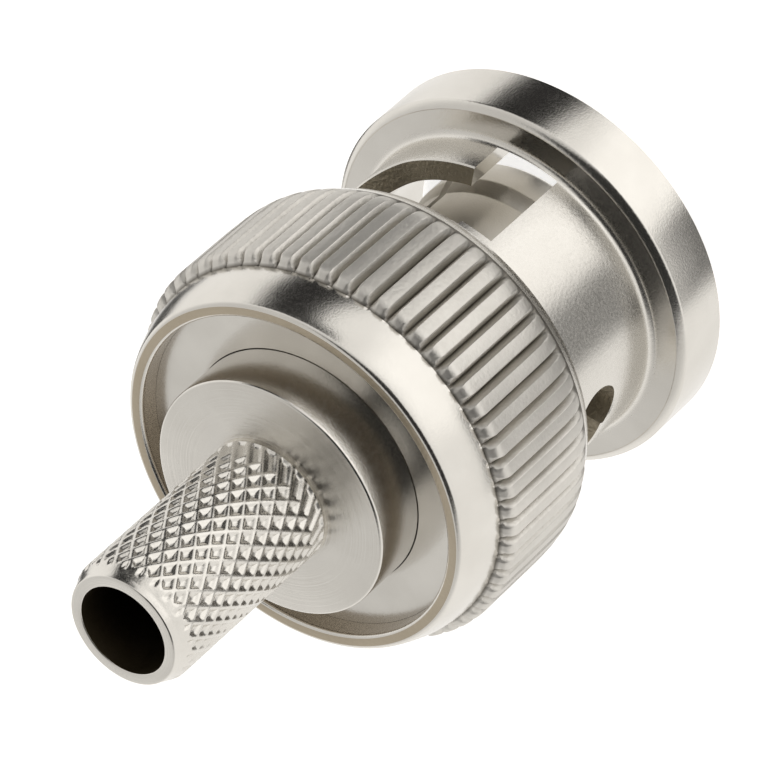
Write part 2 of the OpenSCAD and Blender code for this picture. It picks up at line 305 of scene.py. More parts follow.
@dataclass(frozen=True)
class NickelPlate:
    """Bright nickel plate on turned brass: warm silver, sharp reflections, softened where the tool left fine marks.

    Attributes:
        name: Name of the material.
        colour: Reflection colour of the plate.
        mottle_and_groove_shade: Colour of the random brownish mottling, and of the painted shade at the bottom of
            grooves.
        roughness: Typical roughness of the plate.
        peel_mm: Size of the faint ripples left by casting and plating.
        peel: Height of those ripples, as a share of their size.
        grain_mm: Size of the finest grain, drawn coarse enough to show.
        grain: Height of that grain, as a share of its size.
        turning: Whether flat faces carry concentric tool marks.
        pitch_mm: Spacing of the tool marks, drawn coarser than the real 0.03 mm so that it shows.
        groove_shade_r: Radius in millimetres at the bottom of grooves, where the painted shade is darkest, or 0 for
            none.
        groove_shade_rise: Height over the bottom at which the painted shade has faded out.
    """

    name: str
    colour: str = "#dfdcd6"
    mottle_and_groove_shade: str = "#8d877b"
    roughness: float = 0.19
    peel_mm: float = 0.9
    peel: float = 0.004
    grain_mm: float = 0.07
    grain: float = 0.05
    turning: Turning = Turning.NONE
    pitch_mm: float = 0.09
    groove_shade_r: float = 0.0
    groove_shade_rise: float = 0.12

    def build(self) -> bpy.types.Material:
        """Make the material.

        Returns:
            A new material with this finish.
        """
        material = bpy.data.materials.new(self.name)
        material.use_nodes = True
        tree = NodeTree(material.node_tree)
        place = tree.add("ShaderNodeTexCoord").outputs["Object"]
        peel = tree.add("ShaderNodeTexNoise", {"Vector": place, "Scale": 1.0 / (self.peel_mm * MM), "Detail": 2.0})
        grain = tree.add("ShaderNodeTexNoise", {"Vector": place, "Scale": 1.0 / (self.grain_mm * MM), "Detail": 3.0})
        cloud = tree.add("ShaderNodeTexNoise", {"Vector": place, "Scale": 1.0 / (2.4 * MM), "Detail": 4.0})
        tone = tree.add("ShaderNodeMapRange", {"Value": cloud.outputs["Fac"], "From Min": 0.35, "From Max": 0.75,
                                               "To Min": 0.0, "To Max": 0.16})
        colour = tree.blend(tone.outputs["Result"], linear(self.colour), linear(self.mottle_and_groove_shade))
        # Painted shade: the colour darkens towards the bottom of the knurl's grooves.
        if self.groove_shade_r > 0.0:
            colour = self.painted_groove_shade(tree, place, colour)
        rough = tree.add("ShaderNodeMapRange", {"Value": grain.outputs["Fac"], "From Min": 0.3, "From Max": 0.7,
                                                "To Min": self.roughness - 0.04, "To Max": self.roughness + 0.05})
        bump = tree.add("ShaderNodeBump", {"Height": peel.outputs["Fac"], "Strength": 1.0,
                                           "Distance": self.peel * self.peel_mm * MM})
        bump = tree.add("ShaderNodeBump", {"Height": grain.outputs["Fac"], "Strength": 1.0,
                                           "Distance": self.grain * self.grain_mm * MM, "Normal": bump.outputs["Normal"]})
        if self.turning is Turning.FLAT_FACES:
            bump = self.tool_marks(tree, place, bump)
        shader = tree.add("ShaderNodeBsdfPrincipled", {
            "Base Color": colour,
            "Metallic": 1.0,
            "Roughness": rough.outputs["Result"],
            "Normal": bump.outputs["Normal"],
        })
        tree.add("ShaderNodeOutputMaterial", {"Surface": shader.outputs["BSDF"]})
        return material

    def painted_groove_shade(self, tree: NodeTree, place: bpy.types.NodeSocket,
                colour: bpy.types.NodeSocket) -> bpy.types.NodeSocket:
        """Darken the plate's colour towards the bottom of the grooves, as painted shade.

        Args:
            tree: The material's nodes.
            place: Object coordinates.
            colour: The plate's colour.

        Returns:
            The colour with the painted shade at the bottom of the grooves.
        """
        flat = tree.add("ShaderNodeVectorMath", {0: place, 1: (1.0, 1.0, 0.0)}, operation="MULTIPLY")
        radius = tree.add("ShaderNodeVectorMath", {0: flat.outputs["Vector"]}, operation="LENGTH")
        # Painted shade mask: strongest at the groove bottom, gone at the rise above it.
        low = tree.add("ShaderNodeMapRange", {
            "Value": radius.outputs["Value"], "From Min": self.groove_shade_r * MM,
            "From Max": (self.groove_shade_r + self.groove_shade_rise) * MM, "To Min": 0.8, "To Max": 0.0,
        })
        return tree.blend(low.outputs["Result"], colour, linear(self.mottle_and_groove_shade))

    def tool_marks(self, tree: NodeTree, place: bpy.types.NodeSocket, bump: bpy.types.Node) -> bpy.types.Node:
        """Add concentric tool marks on faces that lie across the axis.

        Args:
            tree: The material's nodes.
            place: Object coordinates.
            bump: The bump node to build on.

        Returns:
            A bump node that holds both.
        """
        flat = tree.add("ShaderNodeVectorMath", {0: place, 1: (1.0, 1.0, 0.0)}, operation="MULTIPLY")
        radius = tree.add("ShaderNodeVectorMath", {0: flat.outputs["Vector"]}, operation="LENGTH")
        wander = tree.add("ShaderNodeTexNoise", {"W": radius.outputs["Value"], "Scale": 1.0 / (self.pitch_mm * MM),
                                                 "Detail": 4.0, "Roughness": 0.7}, noise_dimensions="1D")
        normal = tree.add("ShaderNodeNewGeometry").outputs["True Normal"]
        upright = tree.add("ShaderNodeVectorMath", {0: normal, 1: (0.0, 0.0, 1.0)}, operation="DOT_PRODUCT")
        across = tree.add("ShaderNodeMath", {0: upright.outputs["Value"]}, operation="ABSOLUTE")
        mask = tree.add("ShaderNodeMapRange", {"Value": across.outputs["Value"], "From Min": 0.95, "From Max": 0.99})
        height = tree.add("ShaderNodeMath", {0: wander.outputs["Fac"], 1: mask.outputs["Result"]}, operation="MULTIPLY")
        return tree.add("ShaderNodeBump", {"Height": height.outputs["Value"], "Strength": 1.0,
                                           "Distance": 0.14 * self.pitch_mm * MM, "Normal": bump.outputs["Normal"]})


@dataclass(frozen=True)
class SoftFinish:
    """A finish with one body colour and fine mottling, for plastic, rubber, gold plate and strip metal.

    Attributes:
        name: Name of the material.
        colour: Main colour.
        second: Colour of the mottling.
        metallic: 1 for metal, 0 for the rest.
        roughness: Typical roughness.
        grain_mm: Size of the mottling.
        subsurface_mm: How far light goes into the body, as in PTFE.
    """

    name: str
    colour: str
    second: str
    metallic: float
    roughness: float
    grain_mm: float
    subsurface_mm: float = 0.0

    def build(self) -> bpy.types.Material:
        """Make the material.

        Returns:
            A new material with this finish.
        """
        material = bpy.data.materials.new(self.name)
        material.use_nodes = True
        tree = NodeTree(material.node_tree)
        place = tree.add("ShaderNodeTexCoord").outputs["Object"]
        grain = tree.add("ShaderNodeTexNoise", {"Vector": place, "Scale": 1.0 / (self.grain_mm * MM), "Detail": 4.0})
        colour = tree.blend(grain.outputs["Fac"], linear(self.colour), linear(self.second))
        rough = tree.add("ShaderNodeMapRange", {"Value": grain.outputs["Fac"], "From Min": 0.3, "From Max": 0.7,
                                                "To Min": self.roughness - 0.05, "To Max": self.roughness + 0.06})
        bump = tree.add("ShaderNodeBump", {"Height": grain.outputs["Fac"], "Strength": 1.0,
                                           "Distance": 0.03 * self.grain_mm * MM})
        shader = tree.add("ShaderNodeBsdfPrincipled", {
            "Base Color": colour,
            "Metallic": self.metallic,
            "Roughness": rough.outputs["Result"],
            "Normal": bump.outputs["Normal"],
        })
        if self.subsurface_mm > 0.0:
            shader.inputs["Subsurface Weight"].default_value = 0.25
            shader.inputs["Subsurface Scale"].default_value = self.subsurface_mm * MM
        tree.add("ShaderNodeOutputMaterial", {"Surface": shader.outputs["BSDF"]})
        return material


def dress(piece: bpy.types.Object, material: bpy.types.Material) -> None:
    """Give a piece one material all over."""
    piece.data.materials.clear()
    piece.data.materials.append(material)


# ---------------------------------------------------------------- the coupling


@dataclass
class Coupling:
    """The bayonet coupling: ring, neck with cam slots, knurled grip, rounded shoulder and recessed rim.

    Sizes are in millimetres and follow the solid model.
    """

    ring_r: float = 6.98
    ring_len: float = 2.32
    bore_r: float = 4.93
    neck_r: float = 5.72
    neck_end: float = 7.40
    front_rim_r: float = 6.65
    root_r: float = 6.92
    tip_r: float = 7.35
    teeth: int = 60
    land_share: float = 0.60
    nose_len: float = 0.45
    tail_len: float = 0.42
    tongue_len: float = 0.45
    knurl_start: float = 8.00
    knurl_end: float = 12.88
    end: float = 14.56
    rear_rim_r: float = 6.56
    seat_r: float = 6.00
    seat_z: float = 12.90
    seat_round: float = 0.16
    chamber_r: float = 5.45
    chamber_z: float = 8.60
    entry_w: float = 2.40
    entry_depth: float = 0.81
    entry_end: float = 6.36
    detent_r: float = 1.10
    detent_z: float = 5.40
    cam_front: Tuple[Point, ...] = ((0.0, 3.81), (42.0, 3.92), (69.0, 4.76), (90.0, 4.76))
    cam_rear: Tuple[Point, ...] = ((0.0, 6.96), (69.0, 6.96), (81.0, 6.73), (90.0, 6.50))

    def outline(self) -> List[Point]:
        """List the coupling's turned outline, from the mating face outwards and back through the bore."""
        run, rise = self.root_r - self.rear_rim_r, self.end - 0.12 - self.knurl_end
        shoulder_r = (run * run + rise * rise) / (2.0 * run)
        lean = math.asin(rise / shoulder_r)
        rim = 0.12 / (1.0 - math.sin(lean))
        front = [
            (self.bore_r + 0.14, 0.0), (self.ring_r - 0.10, 0.0), (self.ring_r, 0.10),
            (self.ring_r, self.ring_len - 0.24), (self.ring_r - 0.05, self.ring_len - 0.17),
            (self.ring_r - 0.27, self.ring_len),
        ]
        outer = rounded(front, {1: 0.06, 3: 0.05, 5: 0.05}, 2)
        outer += arc(self.neck_r + 0.29, self.ring_len + 0.31, 0.29, 270.0, 180.0, 6)
        outer += [(self.neck_r, z) for z in (3.4, 4.4, 5.4, 6.4, 7.1)]
        outer += arc(self.neck_r + 0.12, self.neck_end - 0.12, 0.12, 180.0, 90.0, 3)
        outer += arc(self.front_rim_r - 0.07, self.neck_end + 0.07, 0.07, 270.0, 335.0, 4)
        outer += [(self.front_rim_r + along * (self.root_r - self.front_rim_r) / (self.knurl_start - self.neck_end),
                   self.neck_end + along) for along in (0.12, 0.32, 0.50)]
        outer += [(self.root_r, self.knurl_start + z) for z in self.tooth_stations()]
        outer += arc(self.root_r - shoulder_r, self.knurl_end, shoulder_r, 0.0, math.degrees(lean), 14)[1:]
        outer += arc(self.rear_rim_r - rim * math.cos(lean), self.end - rim, rim, math.degrees(lean), 90.0, 8)[1:]
        inner = arc(self.seat_r + self.seat_round, self.end - self.seat_round, self.seat_round, 90.0, 180.0, 5)
        inner += [(self.seat_r, self.seat_z), (self.chamber_r, self.seat_z), (self.chamber_r, self.chamber_z),
                  (self.bore_r, self.chamber_z), (self.bore_r, 0.14)]
        return outer + inner

    def tooth_stations(self) -> List[float]:
        """List the stations along a tooth, from the knurl's start, closer together at the nose and the run-out."""
        length = self.knurl_end - self.knurl_start
        nose = [0.0, 0.04, 0.09, 0.15, 0.22, 0.30, 0.42, 0.58, 0.78, 1.05, 1.4]
        middle = [1.9, 2.6, 3.3, 3.9]
        tail = [length - z for z in (0.62, 0.52, 0.42, 0.33, 0.24, 0.16, 0.08, 0.0)]
        return nose + middle + tail

    def tooth_height(self, along: float) -> float:
        """Give a tooth's height over the groove, at a distance from the knurl's start."""
        length = self.knurl_end - self.knurl_start
        nose = 1.0 - math.exp(-along / self.nose_len)
        left = max(length - along, 0.0)
        tail = 1.0 if left > self.tail_len else math.sqrt(max(1.0 - (1.0 - left / self.tail_len) ** 2, 0.0))
        return (self.tip_r - self.root_r) * nose * tail

    def land_half(self, along: float) -> float:
        """Give half the angle of a tooth's land, which narrows to a round tongue at both ends."""
        land = self.land_share * 180.0 / self.teeth
        left = self.knurl_end - self.knurl_start - along
        short = max(1.0 - along / self.tongue_len, 1.0 - left / self.tongue_len, 0.0)
        return land * math.sqrt(max(1.0 - 0.88 * short * short, 0.0))

    def sector(self) -> bpy.types.Object:
        """Model one pitch of the coupling as a strip, from the middle of one groove to the middle of the next."""
        outline = self.outline()
        pitch = 360.0 / self.teeth
        vertices: List[Tuple[float, float, float]] = []
        columns = 0
        for r, z in outline:
            along = z - self.knurl_start
            on_tooth = abs(r - self.root_r) < 0.02 and -0.001 <= along <= self.knurl_end - self.knurl_start + 0.001
            height = self.tooth_height(along) if on_tooth else 0.0
            half = self.land_half(along) if on_tooth else self.land_share * pitch / 2.0
            flank = pitch / 2.0 - half
            side = [(half * 0.6, 1.0), (half * 0.93, 0.99), (half + flank * 0.06, 0.93), (half + flank * 0.5, 0.47),
                    (half + flank * 0.84, 0.10), (half + flank * 0.94, 0.02), (pitch / 2.0, 0.0)]
            row = [(-angle, lift) for angle, lift in reversed(side)] + [(0.0, 1.0)] + side
            columns = len(row)
            for angle, lift in row:
                a = math.radians(angle)
                radius = r + height * lift
                vertices.append((radius * math.cos(a), radius * math.sin(a), z))
        rows = len(outline)
        faces = [
            (i * columns + j, i * columns + j + 1, ((i + 1) % rows) * columns + j + 1, ((i + 1) % rows) * columns + j)
            for i in range(rows) for j in range(columns - 1)
        ]
        return object_from("coupling_finish", vertices, [], faces)

    def edge_at(self, table: Sequence[Point], turn: float) -> float:
        """Read a cam edge's height at a turn, from the edge's corners, with its bends eased."""
        total = 0.0
        spread = 4.0
        samples = 9
        for k in range(samples):
            t = min(max(turn + spread * (k / (samples - 1) - 0.5) * 2.0, table[0][0]), table[-1][0])
            for (t0, z0), (t1, z1) in zip(table, table[1:]):
                if t0 <= t <= t1:
                    total += z0 + (z1 - z0) * (t - t0) / (t1 - t0)
                    break
        return total / samples

    def cam_cutter(self) -> bpy.types.Object:
        """Model the strip that the cam slot takes out of the neck, its edges flared where they meet the outside."""
        steps = 60
        inner, outer, flare_r = self.bore_r - 0.3, self.neck_r + 0.3, self.neck_r - 0.05
        flare = 0.05
        vertices: List[Tuple[float, float, float]] = []
        for i in range(steps + 1):
            turn = 90.0 * i / steps
            a = math.radians(turn)
            low, high = self.edge_at(self.cam_front, turn), self.edge_at(self.cam_rear, turn)
            section = [(inner, low), (flare_r, low), (outer, low - flare * (outer - flare_r) / 0.05),
                       (outer, high + flare * (outer - flare_r) / 0.05), (flare_r, high), (inner, high)]
            vertices += [(r * math.cos(a), r * math.sin(a), z) for r, z in section]
        n = 6
        faces: List[Tuple[int, ...]] = [
            (n * i + k, n * i + (k + 1) % n, n * (i + 1) + (k + 1) % n, n * (i + 1) + k)
            for i in range(steps) for k in range(n)
        ]
        faces += [tuple(range(n - 1, -1, -1)), tuple(range(n * steps, n * steps + n))]
        cutter = object_from("cam_cutter", vertices, [], faces)
        close_mesh(cutter)
        return cutter

    def detent_cutter(self) -> bpy.types.Object:
        """Model the drill that makes the detent hole, with a small countersink."""
        outline = [(0.0, 4.4), (self.detent_r, 4.4), (self.detent_r, self.neck_r - 0.06),
                   (self.detent_r + 0.36, self.neck_r + 0.3), (0.0, self.neck_r + 0.3)]
        drill = turned("detent_cutter", outline, 64)
        make_active(drill)
        drill.data.transform(Matrix.Rotation(math.pi / 2.0, 4, "Y"))
        drill.data.transform(Matrix.Translation((0.0, 0.0, self.detent_z * MM)))
        drill.data.transform(Matrix.Rotation(math.pi / 2.0, 4, "Z"))
        close_mesh(drill)
        return drill

    def slot_cutters(self) -> List[bpy.types.Object]:
        """Model what one bayonet slot takes away, with its lead-in channel at the turn 0."""
        return [self.channel_cutter(), self.cam_cutter(), self.detent_cutter()]

    def channel_cutter(self) -> bpy.types.Object:
        """Model the lead-in channel's form: flat sides and a back that is an arc about the axis."""
        half, steps, back = self.entry_w / 2.0, 16, self.bore_r + self.entry_depth
        lean = math.asin(half / back)
        angles = [lean * (2.0 * i / steps - 1.0) for i in range(steps + 1)]
        ring = [(4.2, half), (4.2, -half)] + [(back * math.cos(a), back * math.sin(a)) for a in angles]
        count = len(ring)
        vertices = [(x, y, z) for z in (-0.5, self.entry_end) for x, y in ring]
        faces: List[Tuple[int, ...]] = [tuple(range(count - 1, -1, -1)), tuple(range(count, 2 * count))]
        faces += [(i, (i + 1) % count, count + (i + 1) % count, count + i) for i in range(count)]
        cutter = object_from("channel_cutter", vertices, [], faces)
        close_mesh(cutter)
        return cutter

    def zone(self, centre: Sequence[float], normal: Sequence[float]) -> Zone:
        """Say which stretch of the coupling a face belongs to.

        Args:
            centre: The face's middle, in millimetres.
            normal: The way it faces.

        Returns:
            The stretch, which has a finish of its own.
        """
        x, y, z = centre
        r = math.hypot(x, y)
        if r > self.root_r - 0.10 and self.knurl_start - 0.1 < z < self.knurl_end + 0.02:
            return Zone.GRIP
        if self.bore_r + 0.02 < r < self.neck_r - 0.04 and 2.0 < z < self.cam_rear[0][1] + 0.1:
            beside = abs(abs(x) - self.entry_w / 2.0) < 0.03 and abs(normal[0]) > 0.9
            return Zone.PLATE if beside else Zone.SAWN
        if abs(r - self.neck_r) < 0.32 and self.ring_len < z < self.neck_end - 0.02:
            return Zone.NECK
        if z > self.end - 0.005 and self.seat_r + 0.12 < r:
            return Zone.RIM
        # The recess wall gets a darker, browner plate, which is painted shade in the recess.
        if abs(r - self.seat_r) < 0.03 and z > self.seat_z:
            return Zone.RECESS
        return Zone.PLATE

    def build(self, finishes: Dict[Zone, bpy.types.Material]) -> bpy.types.Object:
        """Model and dress the coupling.

        Args:
            finishes: What each stretch of it wears.

        Returns:
            The finished piece.
        """
        piece = self.sector()
        make_active(piece)
        bpy.ops.object.mode_set(mode="EDIT")
        bpy.ops.mesh.select_all(action="SELECT")
        bpy.ops.mesh.spin(steps=self.teeth, dupli=True, angle=FULL_TURN, center=(0.0, 0.0, 0.0), axis=(0.0, 0.0, 1.0))
        bpy.ops.object.mode_set(mode="OBJECT")
        piece.data.transform(Matrix.Rotation(math.radians(180.0 / self.teeth), 4, "Z"))
        close_mesh(piece)
        for side in (0.0, 180.0):
            for cutter in self.slot_cutters():
                cutter.data.transform(Matrix.Rotation(math.radians(side - 90.0), 4, "Z"))
                cut(piece, cutter)
        shade(piece, 32.0)
        piece.data.materials.clear()
        for zone in Zone:
            piece.data.materials.append(finishes[zone])
        for face in piece.data.polygons:
            face.material_index = self.zone([c / MM for c in face.center], face.normal).value
        return piece


# ---------------------------------------------------------------- the plug body


@dataclass
class PlugBody:
    """The turned body: flange, collar and crimp stem with its net of crossing ribs."""

    flange_r: float = 5.36
    flange_front: float = 8.60
    flange_rear: float = 11.20
    collar_r: float = 4.39
    collar_end: float = 15.82
    stem_r: float = 2.27
    stem_end: float = 23.64
    bore_r: float = 1.62
    tip_r: float = 1.99
    lead_start: float = 22.98
    lead_end: float = 23.36
    lead_slope: float = 0.49
    lead_ease: float = 0.06
    socket_r: float = 3.87
    socket_end: float = 10.40
    tail_r: float = 2.60
    tail_end: float = 13.40
    ribs: int = 24
    rib_angle: float = 34.0
    net_start: float = 16.60
    net_end: float = 23.30
    ribs_start: float = 15.98
    depth: float = 0.10
    rib_w: float = 0.075
    floor_share: float = 0.74
    steps: int = 384

    def outline(self) -> List[Point]:
        """List the turned outline without the stem's knurled stretch, which is modelled by itself."""
        front = [
            (self.socket_r, self.flange_front), (self.flange_r, self.flange_front), (self.flange_r, self.flange_rear),
            (self.collar_r, self.flange_rear), (self.collar_r, self.collar_end),
            (self.stem_r - 0.10, self.collar_end + 0.02),
        ]
        return rounded(front, {1: 0.12, 4: 0.10}, 4)

    def taper(self, z: float) -> float:
        """Give the radius of the stem's blank at a height: even, then easing into the lead-in at the tip."""
        past = max(z - self.lead_start, 0.0)
        return self.stem_r - self.lead_slope * past * past / (past + self.lead_ease)

    def stem_rows(self) -> List[Tuple[float, float]]:
        """List the stem's rows from the collar to the tip and back down the bore, as radius and height."""
        step = math.pi * 2.0 * self.stem_r / self.steps / math.tan(math.radians(self.rib_angle))
        count = int((self.lead_end - self.ribs_start) / step)
        rows = [(self.stem_r - 0.10, self.collar_end + 0.02)]
        rows += [(self.taper(self.ribs_start + step * i), self.ribs_start + step * i) for i in range(count + 1)]
        band = [(self.taper(self.stem_end - 0.20), self.stem_end - 0.20)]
        band += arc(self.tip_r - 0.03, self.stem_end - 0.08, 0.08, 28.0, 90.0, 5)
        band += arc(self.bore_r + 0.05, self.stem_end - 0.05, 0.05, 90.0, 180.0, 3)
        band += [(self.bore_r, self.tail_end), (self.tail_r, self.tail_end), (self.tail_r, self.socket_end),
                 (self.socket_r, self.socket_end), (self.socket_r, self.flange_front)]
        return rows + band

    def recess(self, angle: float, z: float) -> float:
        """Give how deep the knurl goes at a place on the stem.

        Args:
            angle: Angle round the axis, in degrees.
            z: Height, in millimetres.

        Returns:
            Depth below the ribs' crests, in millimetres.
        """
        pitch = 360.0 / self.ribs
        rise = math.degrees(math.tan(math.radians(self.rib_angle)) / self.stem_r)
        half = pitch * self.stem_r * math.radians(1.0) / 2.0 * math.cos(math.radians(self.rib_angle))
        distances = []
        for hand in (1.0, -1.0):
            turn = (angle - hand * rise * (z - self.net_start)) / pitch
            distances.append(abs(turn - round(turn)) * 2.0 * half)
        along, against = distances[1], distances[0]
        fade = smooth_step(self.net_start - 0.05, self.net_start + 0.12, z)
        against = against * fade + half * (1.0 - fade)
        nearest = min(along, against)
        slope = smooth_step(self.rib_w * 0.3, half * self.floor_share, nearest)
        slope = 0.85 * slope + 0.15 * nearest / half
        ends = smooth_step(self.ribs_start - 0.02, self.ribs_start + 0.12, z)
        ends *= 1.0 - smooth_step(self.net_end - 0.08, self.net_end + 0.08, z)
        return self.depth * slope * ends

    def stem(self) -> bpy.types.Object:
        """Model the stem as one skin from the collar to the tip and down the bore, with the ribs raised on it."""
        rows = self.stem_rows()
        vertices: List[Tuple[float, float, float]] = []
        for r, z in rows:
            knurled = r > self.stem_r - 0.25 and self.ribs_start - 0.001 < z < self.lead_end
            for j in range(self.steps):
                angle = 360.0 * j / self.steps
                radius = min(r, self.stem_r - self.recess(angle, z)) if knurled else r
                a = math.radians(angle)
                vertices.append((radius * math.cos(a), radius * math.sin(a), z))
        n = self.steps
        faces: List[Tuple[int, ...]] = []
        for i in range(len(rows) - 1):
            for j in range(n):
                k = (j + 1) % n
                faces.append((i * n + j, i * n + k, (i + 1) * n + k, (i + 1) * n + j))
        return object_from("stem_skin", vertices, [], faces)

    def collar(self) -> bpy.types.Object:
        """Spin the collar and flange from their outline, with as many steps as the stem."""
        outline = self.outline()
        edges = [(i, i + 1) for i in range(len(outline) - 1)]
        piece = object_from("collar_skin", [(r, 0.0, z) for r, z in outline], edges, [])
        make_active(piece)
        bpy.ops.object.mode_set(mode="EDIT")
        bpy.ops.mesh.select_all(action="SELECT")
        bpy.ops.mesh.spin(steps=self.steps, angle=FULL_TURN, center=(0.0, 0.0, 0.0), axis=(0.0, 0.0, 1.0))
        bpy.ops.object.mode_set(mode="OBJECT")
        return piece

    def build(self, finish: bpy.types.Material, knurl: bpy.types.Material,
              bore: bpy.types.Material) -> bpy.types.Object:
        """Model and dress the plug body.

        Args:
            finish: The plate it wears.
            knurl: The plate on the stem's ribs.
            bore: The dark finish inside the bores, which is painted shade.

        Returns:
            The finished piece.
        """
        piece = joined("plug_body_finish", [self.collar(), self.stem()])
        close_mesh(piece)
        shade(piece, 40.0)
        dress(piece, finish)
        piece.data.materials.append(knurl)
        piece.data.materials.append(bore)
        for face in piece.data.polygons:
            x, y, z = (c / MM for c in face.center)
            r = math.hypot(x, y)
            # Faces inside the bores get the dark finish, which is painted shade for the deep bores.
            if r < self.bore_r + 0.01 or (r < self.socket_r + 0.01 and z < self.tail_end + 0.01):
                face.material_index = 2
            elif self.ribs_start < z < self.lead_start + 0.05 and r < self.collar_r - 0.5:
                face.material_index = 1
        return piece


# ---------------------------------------------------------------- pieces inside


@dataclass
class Contacts:
    """The slotted outer contact, the insulator, the centre pin, the gasket and the retaining washer.

    Sizes are in millimetres and follow the solid model.
    """

    contact_r: float = 4.05
    waist_r: float = 3.85
    bore_r: float = 3.45
    front: float = 1.10
    bead_end: float = 2.24
    contact_end: float = 10.40
    slit_w: float = 0.35
    slit_end: float = 6.30
    cavity_r: float = 2.45
    insulator_front: float = 2.60
    cavity_end: float = 7.40
    tail_r: float = 2.58
    tail_end: float = 13.40
    pin_r: float = 0.675
    pin_front: float = 1.90
    shank_r: float = 0.84
    shank_front: float = 7.10
    barrel_r: float = 0.98
    barrel_front: float = 9.90
    barrel_end: float = 13.00
    wire_r: float = 0.48
    gasket_bore_r: float = 3.88
    gasket_r: float = 4.69
    gasket_front: float = 7.60
    gasket_rear: float = 8.59
    washer_bore_r: float = 4.415
    washer_r: float = 5.995
    washer_front: float = 12.90
    washer_rear: float = 13.80

    def outer_contact(self, finish: bpy.types.Material) -> bpy.types.Object:
        """Model the spring-fingered sleeve."""
        outline = rounded([
            (self.bore_r, self.front), (self.contact_r, self.front), (self.contact_r, self.bead_end),
            (self.waist_r, self.bead_end + 0.6), (self.waist_r, self.contact_end), (self.bore_r, self.contact_end),
        ], {0: 0.10, 1: 0.22, 2: 0.3, 3: 0.3}, 5)
        piece = turned("outer_contact_finish", outline, 192)
        for turn in (45.0, 135.0):
            slit = corner_box("slit", (-6.0, -self.slit_w / 2.0, 0.5), (6.0, self.slit_w / 2.0, self.slit_end))
            slit.data.transform(Matrix.Rotation(math.radians(turn), 4, "Z"))
            cut(piece, slit)
        shade(piece, 30.0)
        dress(piece, finish)
        return piece

    def insulator(self, finish: bpy.types.Material) -> bpy.types.Object:
        """Turn the PTFE body with its socket and the holes for the pin."""
        outer = self.bore_r - 0.02
        outline = rounded([
            (self.cavity_r, self.insulator_front), (outer, self.insulator_front), (outer, self.contact_end),
            (self.tail_r, self.contact_end), (self.tail_r, self.tail_end), (self.barrel_r + 0.02, self.tail_end),
            (self.barrel_r + 0.02, self.barrel_front), (self.shank_r + 0.02, self.barrel_front),
            (self.shank_r + 0.02, self.cavity_end), (self.cavity_r, self.cavity_end),
        ], {0: 0.10, 1: 0.14}, 4)
        piece = turned("insulator_finish", outline, 128)
        shade(piece, 30.0)
        dress(piece, finish)
        return piece

    def centre_pin(self, finish: bpy.types.Material) -> bpy.types.Object:
        """Turn the pin with its round nose, shank and crimp barrel, and drill the sight hole."""
        nose = arc(self.pin_r - 0.54, self.pin_front + 0.54, 0.54, -62.0, 0.0, 8)
        outline = [(0.0, self.pin_front + 0.03), (0.10, self.pin_front)] + nose + [
            (self.pin_r, self.shank_front), (self.shank_r, self.shank_front + 0.13),
            (self.shank_r, self.barrel_front), (self.barrel_r, self.barrel_front),
            (self.barrel_r, self.barrel_end), (self.wire_r, self.barrel_end),
            (self.wire_r, self.barrel_front + 0.5), (0.0, self.barrel_front + 0.5),
        ]
        piece = turned("centre_pin_finish", outline, 96)
        hole = turned("sight_hole", [(0.0, 0.0), (0.24, 0.0), (0.24, 2.0), (0.0, 2.0)], 32)
        hole.data.transform(Matrix.Rotation(math.pi / 2.0, 4, "Y"))
        hole.data.transform(Matrix.Translation((0.0, 0.0, (self.barrel_front + 0.9) * MM)))
        close_mesh(hole)
        cut(piece, hole)
        shade(piece, 30.0)
        dress(piece, finish)
        return piece

    def gasket(self, finish: bpy.types.Material) -> bpy.types.Object:
        """Turn the gasket with soft edges."""
        outline = rounded([
            (self.gasket_bore_r, self.gasket_front), (self.gasket_r, self.gasket_front),
            (self.gasket_r, self.gasket_rear), (self.gasket_bore_r, self.gasket_rear),
        ], {0: 0.12, 1: 0.2, 2: 0.2, 3: 0.1}, 4)
        piece = turned("face_gasket_finish", outline, 128)
        shade(piece, 40.0)
        dress(piece, finish)
        return piece

    def retaining_washer(self, finish: bpy.types.Material) -> bpy.types.Object:
        """Turn the washer at the bottom of the rear recess."""
        outline = rounded([
            (self.washer_bore_r, self.washer_front), (self.washer_r, self.washer_front),
            (self.washer_r, self.washer_rear), (self.washer_bore_r, self.washer_rear),
        ], {0: 0.02, 3: 0.015}, 2)
        piece = turned("retaining_washer_finish", outline, 192)
        shade(piece, 40.0)
        dress(piece, finish)
        return piece


# ---------------------------------------------------------------- the studio


@dataclass(frozen=True)
class Card:
    """A soft-edged card in the studio, dark or bright, seen only as a reflection or as light.

    Attributes:
        azimuth: Direction of its middle from the object, in degrees from +X.
        elevation: Height of its middle above the horizon, in degrees.
        half_width: Half its width, as the sine of the angle.
        half_height: Half its height, as the sine of the angle.
        soft: Width of its soft edge.
        level: Brightness of the card, where 1 is white.
    """

    azimuth: float
    elevation: float
    half_width: float
    half_height: float
    soft: float
    level: float


